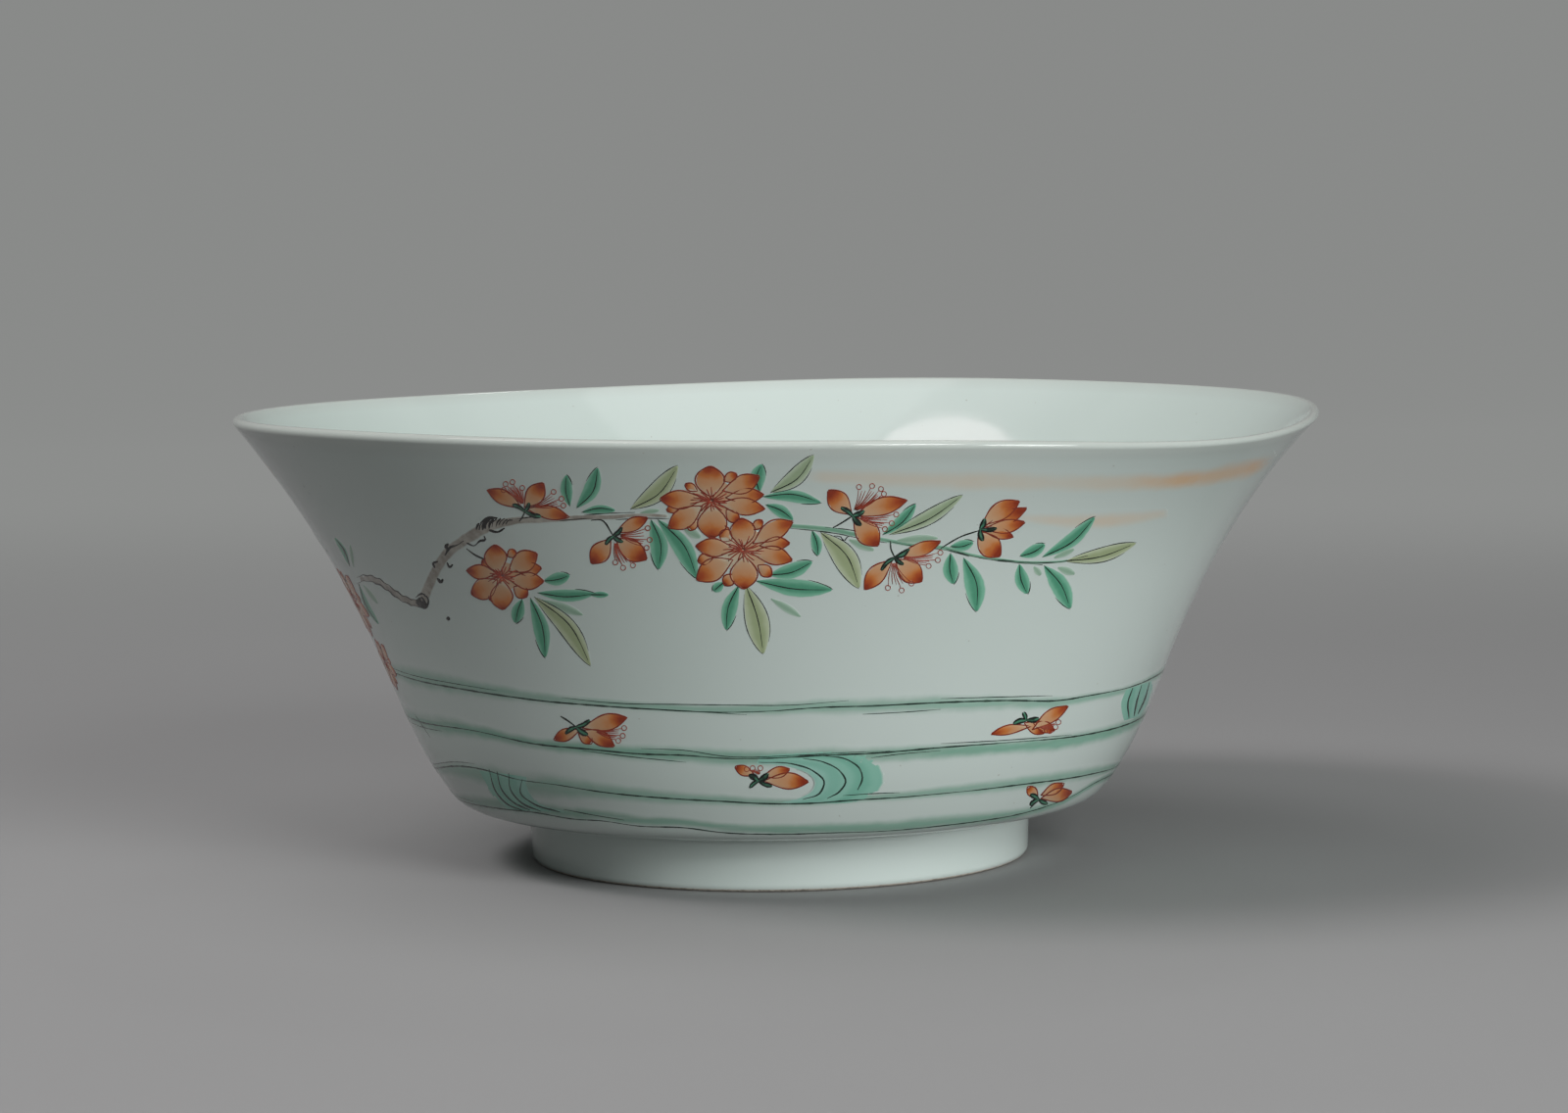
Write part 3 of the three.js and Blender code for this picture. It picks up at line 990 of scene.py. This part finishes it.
REAR_LINE_PLACES = (0.03, 0.14, 0.25, 0.78, 0.9)
CREST_TURNS = (95, 165, 235)
FALLEN_TURN = 24


def band_round(front, wave):
    """A band's path all round the wall: drawn places on the front, then gentle waves behind. Its ends
    overlap by one step."""
    drawn = FRONT.chart(front)
    first, last = drawn[0], drawn[-1]
    behind = np.linspace(last[0], first[0] + 2 * math.pi, BAND_STEPS)[1:-1]
    share = np.linspace(0, 1, BAND_STEPS)[1:-1]
    heights = last[1] + (first[1] - last[1]) * share + BAND_WAVE * np.sin(behind * 3 + wave)
    rear = np.stack([behind, heights], axis=1)
    half = len(rear) // 2
    return np.vstack([rear[half:] - (2 * math.pi, 0), drawn, rear[:half + 2]]) * (WATER_RADIUS, 1)


def paint_band(index, front):
    path = smooth_path(band_round(front, index * 1.7), 3.0)
    swell = np.interp(path[:, 0], BAND_PLACES, BAND_SWELLS[index])
    widths = WASH_WIDTH * swell * (1 + SWELL_WAVE * np.sin(path[:, 0] * SWELL_TURN + index * 2))
    lower = np.interp(path[:, 0], BAND_PLACES, BAND_LOWER[index])
    middle = path + WASH_WIDTH * np.stack([np.zeros(len(path)), swell * (0.12 - 0.3 * lower)], axis=1)
    wash(water, AROUND, middle, widths, WATER_LIFT, BAND_STRENGTHS[index], spacing=1.5)
    reach = lengths(path)
    start = 0.0
    while start < reach[-1] - 20:
        end = min(start + random.uniform(*WATER_RUN), reach[-1])
        piece = path[(reach >= start) & (reach <= end)]
        brush(water_lines, AROUND, piece, WATER_LINE, start=0.3, end=0.4, wobble=0.2, spacing=1.6)
        start = end - random.uniform(*WATER_OVERLAP)
    for place in REAR_LINE_PLACES:
        start = reach[-1] * place + random.uniform(-8, 8)
        piece = path[(reach >= start) & (reach <= start + random.uniform(*REAR_RUN))]
        if len(piece) > 4:
            piece = piece + (0, random.choice(REAR_OFFSETS))
            brush(water_lines, AROUND, piece, FINE_LINE, wobble=0.2, spacing=1.6)


def between(coat, canvas, inner, outer, top):
    """A wash that fills the space from one row of places to another."""
    across = np.linspace(-1, 1, CREST_COLUMNS)
    sides = []
    for places in (inner, outer):
        fine = smooth_path(places, 1.0)
        reach = lengths(fine)
        even = np.linspace(0, reach[-1], CREST_ROWS)
        sides.append(np.stack([np.interp(even, reach, fine[:, axis]) for axis in (0, 1)], axis=1))
    share = (across[None, :, None] + 1) / 2
    coat.lay(canvas, sides[0][:, None] * (1 - share) + sides[1][:, None] * share, across, top)


def paint_crest(panel, inner, outer, arcs):
    """A curling crest of water: a teal wash crossed by thin arcs that swell towards their ends."""
    between(crests, panel, inner, outer, CREST_LIFT)
    strokes(water_lines, panel, arcs, CREST_LINE, start=0.75, end=0.25)


def paint_water():
    for index, front in enumerate(BANDS):
        paint_band(index, front)
    brush(water_lines, Panel(OUTLINE_TURN), EDGE_STROKE, WATER_LINE)
    strokes(water_lines, FRONT, SHORT_LINES, FINE_LINE, spacing=1.2)
    paint_crest(FRONT, SMALL_CREST_INNER, SMALL_CREST_OUTER, SMALL_CREST_ARCS)
    paint_crest(FRONT, EDGE_CREST_INNER, EDGE_CREST_OUTER, EDGE_CREST_ARCS)
    for turn in (0, *CREST_TURNS):
        paint_crest(Panel(turn), CREST_INNER, CREST_OUTER, CREST_ARCS)
    paint_all(side_blossom, FRONT, FALLEN_BLOSSOMS)
    for k, turn in enumerate(CREST_TURNS):
        side_blossom(Panel(turn), *FALLEN_BLOSSOMS[1])
        side_blossom(Panel(turn + FALLEN_TURN), *FALLEN_BLOSSOMS[2 * (k % 2)])


# Clouds: long faint washes under the lip, with their widths and strengths
CLOUDS = (
    (((815, 486), (900, 489), (1000, 491), (1080, 493), (1150, 493), (1200, 490), (1262, 481), (1306, 466)),
     (20, 34, 34, 32, 30, 30, 32, 24),
     (0.25, 0.42, 0.38, 0.3, 0.5, 0.95, 1.0, 0.95)),
    (((1035, 528), (1090, 532), (1150, 530), (1195, 523)), (14, 26, 26, 14), (0.25, 0.45, 0.5, 0.3)),
)
CLOUD_TURNS = (0, 120, 215)


def paint_clouds(panel):
    for places, widths, shades in CLOUDS:
        wash(clouds, panel, places, widths, CLOUD_LIFT, shades)


# Materials, with depths of relief in metres

ENAMEL_RELIEF = 0.00001
GLAZE_RELIEF = 0.00002
GRIT_RELIEF = 0.00008


def linear(colour):
    """A colour as written, in the numbers that shaders take."""
    return (*[c / 12.92 if c < 0.04045 else ((c + 0.055) / 1.055) ** 2.4 for c in colour], 1.0)


class Shader:
    """A material with short ways to add the nodes that this script uses."""

    def __init__(self, name, roughness):
        self.material = bpy.data.materials.new(name)
        self.material.use_nodes = True
        self.tree = self.material.node_tree
        self.surface = self.tree.nodes["Principled BSDF"].inputs
        self.put(self.surface["Roughness"], roughness)
        self.place = self.add("TexCoord").outputs["Object"]

    def put(self, socket, value):
        """Links a socket to another one, or gives it a number or a colour as written."""
        if isinstance(value, bpy.types.NodeSocket):
            self.tree.links.new(value, socket)
        else:
            socket.default_value = linear(value) if socket.type == "RGBA" else value

    def add(self, kind, inputs=(), **settings):
        node = self.tree.nodes.new("ShaderNode" + kind)
        for name, value in settings.items():
            setattr(node, name, value)
        for name, value in dict(inputs).items():
            self.put(node.inputs[name], value)
        return node

    def mark(self, name):
        return self.add("Attribute", attribute_name=name).outputs["Fac"]

    def noise(self, scale, detail=3.0, roughness=0.5, place=None):
        inputs = {"Vector": place or self.place, "Scale": scale, "Detail": detail, "Roughness": roughness}
        return self.add("TexNoise", inputs).outputs["Fac"]

    def maths(self, operation, a, b=0.0, clamp=False):
        return self.add("Math", {0: a, 1: b}, operation=operation, use_clamp=clamp).outputs[0]

    def times(self, product, *factors):
        for factor in factors:
            product = self.maths("MULTIPLY", product, factor)
        return product

    def waver(self, scale, size):
        """Noise that runs from minus half of a size to plus half of it."""
        return self.times(self.maths("SUBTRACT", self.noise(scale), 0.5), size)

    def aside(self):
        """Nothing in the middle of a mound and one at either side of it."""
        return self.maths("ABSOLUTE", self.mark("across"))

    def span(self, value, low, high, to_low=0.0, to_high=1.0):
        inputs = {"Value": value, "From Min": low, "From Max": high, "To Min": to_low, "To Max": to_high}
        return self.add("MapRange", inputs, interpolation_type="SMOOTHSTEP").outputs["Result"]

    def patches(self, scale, detail, *limits):
        return self.span(self.noise(scale, detail), *limits)

    def mix(self, share, a, b):
        return self.add("Mix", {"Factor": share, "A": a, "B": b}, data_type="RGBA").outputs["Result"]

    def ramp(self, value, stops):
        node = self.add("ValToRGB", {"Fac": value})
        while len(node.color_ramp.elements) < len(stops):
            node.color_ramp.elements.new(0.5)
        for element, (place, colour) in zip(node.color_ramp.elements, stops):
            element.position = place
            element.color = linear(colour)
        return node.outputs["Color"]

    def glaze(self):
        """The clear, slightly green glaze, a little uneven where it lies thicker."""
        return self.mix(self.patches(14, 2, 0.35, 0.65), (0.79, 0.846, 0.823), (0.803, 0.854, 0.834))

    def cover(self, soft, limit, ends=0.0, ragged=0.24, scale=700):
        """One where enamel lies, and nothing past a limit at each side and, where asked for, at the ends."""
        side = self.maths("ADD", self.aside(), self.waver(scale, ragged))
        cover = self.span(side, limit - soft, limit, 1, 0)
        if ends:
            along = self.mark("along")
            from_end = self.maths("MINIMUM", along, self.maths("SUBTRACT", 1, along))
            cover = self.times(cover, self.span(from_end, 0, ends))
        return cover

    def finish(self, colour, height=None, depth=0.0):
        """Gives the surface its colour and, where there is a height, a fine relief."""
        self.put(self.surface["Base Color"], colour)
        if height:
            bump = self.add("Bump", {"Distance": depth, "Height": height})
            self.put(self.surface["Normal"], bump.outputs["Normal"])
        return self.material

    def enamel(self, cover, fill, grain=500):
        """The fill where the cover is one, and clear glaze where it is nothing."""
        return self.finish(self.mix(cover, self.glaze(), fill), self.noise(grain, 2), ENAMEL_RELIEF)


def glaze_material():
    shader = Shader("glazed_porcelain", 0.1)
    # The lip mark darkens the glaze: thin glaze on the crown, painted darker as shade, and painted shade just
    # under the lip.
    colour = shader.mix(shader.mark("mark"), shader.glaze(), (0.745, 0.775, 0.75))
    colour = shader.mix(shader.patches(900, 1, 0.79, 0.82, 0, 0.35), colour, (0.55, 0.52, 0.46))
    shader.put(shader.surface["Roughness"], shader.patches(60, 3, 0.3, 0.7, 0.05, 0.09))
    return shader.finish(colour, shader.noise(130, 2), GLAZE_RELIEF)


def foot_material():
    shader = Shader("foot_porcelain", 0.1)
    bare = shader.span(shader.mark("mark"), 0.4, 0.6)
    biscuit = shader.mix(shader.patches(1400, 2, 0.45, 0.7), (0.82, 0.80, 0.75), (0.66, 0.63, 0.58))
    # The foot's glaze is the bowl's glaze painted a little lighter, as painted light on the foot.
    glaze = shader.mix(shader.patches(14, 2, 0.35, 0.65), (0.825, 0.884, 0.86), (0.839, 0.892, 0.872))
    shader.put(shader.surface["Roughness"], shader.span(bare, 0, 1, 0.1, 0.7))
    grit = shader.times(shader.noise(1400), bare)
    return shader.finish(shader.mix(bare, glaze, biscuit), grit, GRIT_RELIEF)


# Orange washes from the base of a petal to the deep red of its tip
PETAL_STOPS = (
    (0.0, (0.80, 0.77, 0.68)),
    (0.22, (0.80, 0.65, 0.51)),
    (0.54, (0.80, 0.58, 0.40)),
    (0.68, (0.78, 0.47, 0.23)),
    (0.84, (0.68, 0.30, 0.12)),
    (0.97, (0.56, 0.19, 0.07)),
)


def petal_material():
    shader = Shader("petal_enamel", 0.14)
    across = shader.mark("across")
    drop = shader.times(across, across, 0.12)
    out = shader.maths("SUBTRACT", shader.times(shader.mark("along"), shader.mark("shade")), drop)
    fill = shader.ramp(shader.maths("ADD", out, shader.waver(420, 0.34)), PETAL_STOPS)
    return shader.enamel(shader.cover(0.06, 0.96), fill, 600)


def leaf_material():
    """Green, pale or yellow by the leaf's tone, and paler where the enamel pools towards the sides."""
    shader = Shader("leaf_enamel", 0.12)
    pooled = shader.maths("ADD", shader.span(shader.aside(), 0.1, 0.9), shader.times(shader.noise(500), 0.5))
    green = shader.mix(shader.span(pooled, 0.2, 1.1), (0.31, 0.60, 0.48), (0.49, 0.74, 0.63))
    yellow = shader.mix(shader.span(pooled, 0.2, 1.2), (0.625, 0.685, 0.525), (0.735, 0.785, 0.655))
    pale = shader.mix(shader.span(pooled, 0.2, 1.2), (0.57, 0.70, 0.61), (0.68, 0.79, 0.72))
    tone = shader.mark("shade")
    fill = shader.mix(shader.span(tone, 0.2, 0.4), green, pale)
    fill = shader.mix(shader.span(tone, 0.6, 0.9), fill, yellow)
    return shader.enamel(shader.cover(0.18, 0.88, ragged=0.16), fill)


def line_material(name, dark, worn):
    """A drawn line whose tone thins here and there."""
    shader = Shader(name, 0.2)
    thin = shader.span(shader.noise(350, 4, 0.6), 0.48, 0.75, 0, 0.6)
    return shader.finish(shader.mix(thin, dark, worn))


def calyx_material():
    """Dark outlines round a green middle."""
    shader = Shader("calyx_enamel", 0.14)
    middle = shader.span(shader.aside(), 0.12, 0.5, 1, 0)
    middle = shader.times(middle, shader.patches(600, 2, 0.35, 0.6, 0.1, 1))
    return shader.finish(shader.mix(middle, (0.05, 0.08, 0.06), (0.29, 0.53, 0.42)))


def wood_material():
    shader = Shader("bough_enamel", 0.14)
    streak = shader.span(shader.noise(380, 4, 0.6), 0.35, 0.65)
    fill = shader.mix(streak, (0.58, 0.56, 0.52), (0.70, 0.69, 0.65))
    return shader.enamel(shader.cover(0.3, 0.88, 0.02), fill)


def water_material():
    """Green in level streaks."""
    shader = Shader("water_enamel", 0.12)
    level = shader.add("VectorMath", {0: shader.place, 1: (1, 1, 16)}, operation="MULTIPLY").outputs[0]
    streak = shader.noise(38, 4, 0.6, level)
    fill = shader.mix(shader.span(streak, 0.35, 0.65), (0.40, 0.615, 0.52), (0.535, 0.71, 0.635))
    cover = shader.cover(0.75, 0.84, ragged=0.4, scale=240)
    cover = shader.times(cover, shader.mark("shade"), shader.span(streak, 0.25, 0.6, 0.5, 1.0))
    return shader.enamel(cover, fill)


def crest_material():
    """Teal, paler near the inner side, that pools on the outer side of each band between two arcs."""
    shader = Shader("crest_enamel", 0.12)
    across = shader.mark("across")
    phase = shader.maths("ADD", shader.times(shader.noise(160), 3), shader.times(across, 9))
    ripple = shader.maths("SINE", phase)
    depth = shader.span(across, -1, 0.5)
    pooled = shader.mix(depth, (0.56, 0.77, 0.705), (0.485, 0.725, 0.645))
    thin = shader.mix(depth, (0.61, 0.80, 0.745), (0.55, 0.77, 0.695))
    fill = shader.mix(shader.span(ripple, -1, 1), pooled, thin)
    return shader.enamel(shader.cover(0.1, 0.93, 0.04, 0.06, 400), fill)


def cloud_material():
    shader = Shader("cloud_enamel", 0.12)
    patchy = shader.span(shader.noise(90, 4, 0.6), 0.35, 0.75)
    cover = shader.cover(0.72, 0.78, 0.06, 0.4, 150)
    cover = shader.times(cover, shader.mark("shade"), shader.span(patchy, 0, 1, 0.75, 1.0))
    return shader.finish(shader.mix(cover, shader.glaze(), (0.87, 0.73, 0.57)))


# Studio

FLOOR_RINGS = ((0, 0), (0.3, 0), (0.7, 0))
FLOOR_FLAT = 1.25
FLOOR_SEGMENTS = 96
SWEEP_RADIUS = 0.75
SWEEP_STEPS = 16
WALL_TOP = 2.2
FLOOR_COLOUR = (0.60, 0.605, 0.605)
FLOOR_GRAIN = 0.985
FLOOR_BOUNCE = (0.41, 0.41, 0.41)
BACKDROP_COLOUR = (0.53, 0.535, 0.53)
BACKDROP_START = 0.2
BACKDROP_FULL = 0.95


def floor_material():
    """Pale paper near the bowl and an even tone further out. It throws less light back than it shows."""
    shader = Shader("floor_paper", 0.85)
    grain = tuple(c * FLOOR_GRAIN for c in FLOOR_COLOUR)
    paper = shader.mix(shader.patches(6, 3, 0.3, 0.7, 0, 0.5), FLOOR_COLOUR, grain)
    rays = shader.add("LightPath").outputs
    shown = shader.maths("ADD", rays["Is Camera Ray"], rays["Is Glossy Ray"])
    shown = shader.maths("ADD", shown, rays["Is Transmission Ray"], clamp=True)
    away = shader.add("VectorMath", {0: shader.place}, operation="LENGTH").outputs["Value"]
    far = shader.span(away, BACKDROP_START, BACKDROP_FULL)
    shader.put(shader.surface["Emission Color"], BACKDROP_COLOUR)
    shader.put(shader.surface["Emission Strength"], shader.times(far, shown))
    return shader.finish(shader.mix(shown, FLOOR_BOUNCE, shader.mix(far, paper, (0, 0, 0))))


def build_floor():
    """A round seamless backdrop: a flat floor that sweeps up into a wall on every side."""
    sweep = arc((FLOOR_FLAT, SWEEP_RADIUS), SWEEP_RADIUS, -90, 0, SWEEP_STEPS)
    profile = np.vstack([FLOOR_RINGS, sweep, [(FLOOR_FLAT + SWEEP_RADIUS, WALL_TOP)]])
    mesh = turned("floor", profile[::-1], FLOOR_SEGMENTS)
    mesh.materials.append(floor_material())
    mesh.shade_smooth()
    floor = show(mesh)


# Round lamps: azimuth from the camera's side towards +X, elevation and a turn about its own axis in degrees,
# size in metres, watts, and whether the glaze mirrors it
LAMPS = {
    "key": (-69.9, 56.3, 28, (0.72, 0.31), 2.4, True),
    "key_spread": (-72, 49, 0, (0.5, 0.35), 4.0, False),
    "left_rear": (-125, 60, 0, (0.7, 0.7), 1.8, False),
    "top": (0, 86, 0, (0.9, 0.9), 1.7, True),
    "rim_glint": (164.5, 50, 0, (0.1, 0.1), 0.2, True),
    "front": (25, 25, 0, (0.4, 0.4), 4.1, True),
    "front_low": (46, 8, 0, (0.4, 0.4), 5.4, True),
    "camera_side": (-2, 16, 0, (0.4, 0.4), 0.8, True),
    "rear_low": (170, 12, 0, (0.6, 0.4), 1.2, False),
}
KEY_TINT = (1.0, 0.84, 0.87)
LAMP_DISTANCE = 1.15
LAMP_AIM = (0, 0, 0.045)


def add_lamps():
    for name, (azimuth, elevation, turn, size, watts, mirrored) in LAMPS.items():
        a, e = math.radians(azimuth), math.radians(elevation)
        way = Vector((math.sin(a) * math.cos(e), -math.cos(a) * math.cos(e), math.sin(e)))
        lamp = bpy.data.lights.new(name, "AREA")
        lamp.shape = "ELLIPSE"
        lamp.size, lamp.size_y = size
        lamp.energy = watts
        if name == "key":
            lamp.color = KEY_TINT
        thing = show(lamp)
        thing.location = Vector(LAMP_AIM) + way * LAMP_DISTANCE
        spin = Quaternion((0, 0, 1), math.radians(turn))
        thing.rotation_euler = (way.to_track_quat("Z", "Y") @ spin).to_euler()
        thing.visible_camera = False
        thing.visible_glossy = mirrored
    world = bpy.data.worlds.new("studio")
    world.use_nodes = True
    world.node_tree.nodes["Background"].inputs["Strength"].default_value = 0
    bpy.context.scene.world = world


def add_camera():
    lens = bpy.data.cameras.new("camera")
    lens.sensor_width = SENSOR_WIDTH
    lens.lens = FOCAL_PIXELS / PICTURE_WIDTH * SENSOR_WIDTH
    lens.clip_start = 0.01
    camera = show(lens)
    axes = Matrix((RIGHT, UP, -FORWARD)).transposed().to_4x4()
    axes.translation = (0, -CAMERA_DISTANCE * MM, CAMERA_HEIGHT * MM)
    camera.matrix_world = axes
    bpy.context.scene.camera = camera


# Pieces

# How far in millimetres the lip's thin glaze (painted darker as shade), the painted shade under the lip and
# the wiped glaze on the foot reach, and how strong that painted shade is
THIN_GLAZE_AND_SHADE_REACH = 1.1
UNDER_LIP_SHADE_REACH = 4.5
UNDER_LIP_SHADE_MOST = 0.7
BARE_HEIGHT = 0.5
SPRAY_TURN = 165


def lip_marks(profile):
    """One on the crown of the lip, where the glaze runs thin and is painted darker as shade, less just under
    it as painted shade, and nothing elsewhere.
    """
    away = np.linalg.norm(profile - (LIP_CENTRE + (0.2, LIP_ROUND)), axis=1)
    crown = np.clip(1.3 - away / THIN_GLAZE_AND_SHADE_REACH, 0, 1)
    outside_rows = np.arange(len(profile)) < profile[:, 1].argmax()
    return np.maximum(crown, outside_rows * np.clip(0.9 - away / UNDER_LIP_SHADE_REACH, 0, UNDER_LIP_SHADE_MOST))


def bare_marks(profile):
    """One on the standing edge of the foot, where the glaze is wiped off."""
    return np.clip(1.6 - profile[:, 1] / BARE_HEIGHT, 0, 1)


body = body_profile()
foot = foot_profile()
bowl_glaze = pot_piece("bowl_glaze", body, lip_marks(body), glaze_material())
foot_glaze = pot_piece("foot_glaze", foot, bare_marks(foot), foot_material(), closed=True)
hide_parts("bowl_body")
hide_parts("foot_ring")

paint_water()
paint_outline_group()
paint_spray(FRONT)
paint_spray(Panel(SPRAY_TURN))
for turn in CLOUD_TURNS:
    paint_clouds(Panel(turn))

petals.build(petal_material())
petal_lines.build(line_material("iron_red_line", (0.50, 0.17, 0.10), (0.62, 0.28, 0.18)))
stamens.build(line_material("stamen_line", (0.58, 0.23, 0.16), (0.70, 0.40, 0.31)))
leaves.build(leaf_material())
leaf_lines.build(line_material("leaf_line", (0.06, 0.09, 0.07), (0.20, 0.27, 0.22)))
calyxes.build(calyx_material())
wood.build(wood_material())
wood_lines.build(line_material("bark_line", (0.09, 0.09, 0.08), (0.25, 0.23, 0.21)))
water.build(water_material())
crests.build(crest_material())
water_lines.build(line_material("water_line", (0.13, 0.20, 0.17), (0.36, 0.47, 0.42)))
clouds.build(cloud_material())

build_floor()
add_lamps()
add_camera()
bpy.context.scene.view_settings.view_transform = "Standard"
